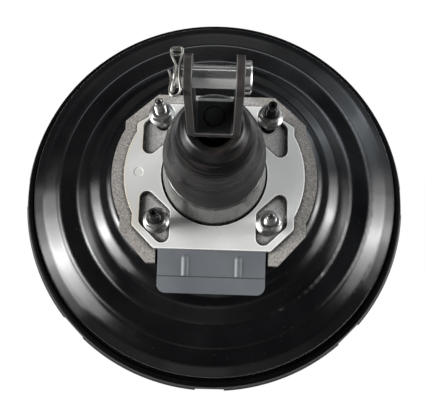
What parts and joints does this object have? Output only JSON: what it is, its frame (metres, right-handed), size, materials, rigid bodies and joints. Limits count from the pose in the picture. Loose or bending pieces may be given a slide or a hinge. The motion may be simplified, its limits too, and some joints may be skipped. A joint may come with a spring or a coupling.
{
  "type": "brake booster",
  "caption": "Vacuum brake booster: round pressed-steel casing, square stud plate, rubber boot, push rod with clevis and pin, face for a master cylinder.",
  "frame": {"origin": "centre of the square firewall stud pattern, in the rear face of the mounting plate (the face that bears on the firewall)", "axes": "+Z rearward along the booster's axis, to the brake pedal; -Z to the master cylinder; +X and +Y along the sides of the stud square, the bent tab at -Y"},
  "size_m": [0.3002, 0.3002, 0.3335],
  "materials": {
    "black_enamel": "gloss black enamel",
    "rim_enamel": "gloss black enamel",
    "zinc_plate": "bright zinc",
    "phosphate_tab": "grey phosphate",
    "sleeve_steel": "bare drawn steel",
    "foam": "closed-cell foam, speckled",
    "zinc_studs": "zinc plated",
    "black_studs": "black oxide",
    "nuts": "zinc plated",
    "boot_rubber": "satin black rubber",
    "seal_rubber": "black rubber",
    "bearing_plastic": "natural plastic",
    "piston_resin": "phenolic, moulded",
    "plate_steel": "zinc plated",
    "rod_steel": "machined",
    "clevis_steel": "dark oiled steel",
    "pin_steel": "bright",
    "clip_wire": "bright spring wire",
    "spring_wire": "oil-tempered wire",
    "felt": "felt",
    "valve_plastic": "moulded, black"
  },
  "bodies": {
    "housing": {"rear_shell": "black_enamel", "front_shell": "rim_enamel", "guide_sleeve": "sleeve_steel", "gasket": "foam", "tab_bracket": "phosphate_tab", "mounting_plate": "zinc_plate", "zinc_studs": "zinc_studs", "black_studs": "black_studs", "stud_nuts": "nuts", "tail_seal": "seal_rubber", "tail_bearing": "bearing_plastic", "seal_retainer": "plate_steel", "dust_boot": "boot_rubber", "main_spring": "spring_wire", "stiffener": "plate_steel", "cylinder_studs": "zinc_studs", "front_seal": "seal_rubber", "valve_grommet": "seal_rubber", "check_valve_body": "valve_plastic", "check_valve_spring": "spring_wire"},
    "piston": {"power_piston": "piston_resin", "diaphragm_plate": "plate_steel", "diaphragm": "seal_rubber", "reaction_disc": "seal_rubber", "output_rod": "rod_steel", "adjuster_tip": "rod_steel", "rod_retainer": "plate_steel", "stop_key": "plate_steel", "poppet_valve": "seal_rubber", "poppet_retainer": "plate_steel", "poppet_spring": "spring_wire", "tail_filter": "felt", "input_return_spring": "spring_wire"},
    "plunger": {"valve_plunger": "rod_steel"},
    "pushrod": {"input_rod": "rod_steel", "spring_collar": "rod_steel", "jam_nut": "clevis_steel", "clevis": "clevis_steel"},
    "pin": {"clevis_pin": "pin_steel", "pin_clip": "clip_wire"},
    "check_disc": {"check_valve_disc": "seal_rubber"}
  },
  "joints": [
    {"name": "piston_slide", "type": "slide", "parent": "housing", "child": "piston", "axis": [0, 0, -1], "range_m": [0, 0.034], "stiffness_N_per_m": 4500, "springref_m": -0.03, "deforming": ["dust_boot", "main_spring", "diaphragm"]},
    {"name": "plunger_slide", "type": "slide", "parent": "piston", "child": "plunger", "axis": [0, 0, -1], "range_m": [0, 0.0018], "stiffness_N_per_m": 3000, "springref_m": -0.01, "deforming": ["input_return_spring"]},
    {"name": "rod_swivel", "type": "hinge", "parent": "plunger", "child": "pushrod", "pos_m": [0, 0, -0.007], "axis": [1, 0, 0], "range_deg": [-2.5, 2.5], "stiffness_Nm_per_rad": 3},
    {"name": "clevis_pin_turn", "type": "hinge", "parent": "pushrod", "child": "pin", "pos_m": [0, 0, 0.165], "axis": [1, 0, 0], "continuous": true},
    {"name": "check_valve_lift", "type": "slide", "parent": "housing", "child": "check_disc", "axis": [0, 0, -1], "range_m": [0, 0.0015], "stiffness_N_per_m": 200, "deforming": ["check_valve_spring"]}
  ]
}
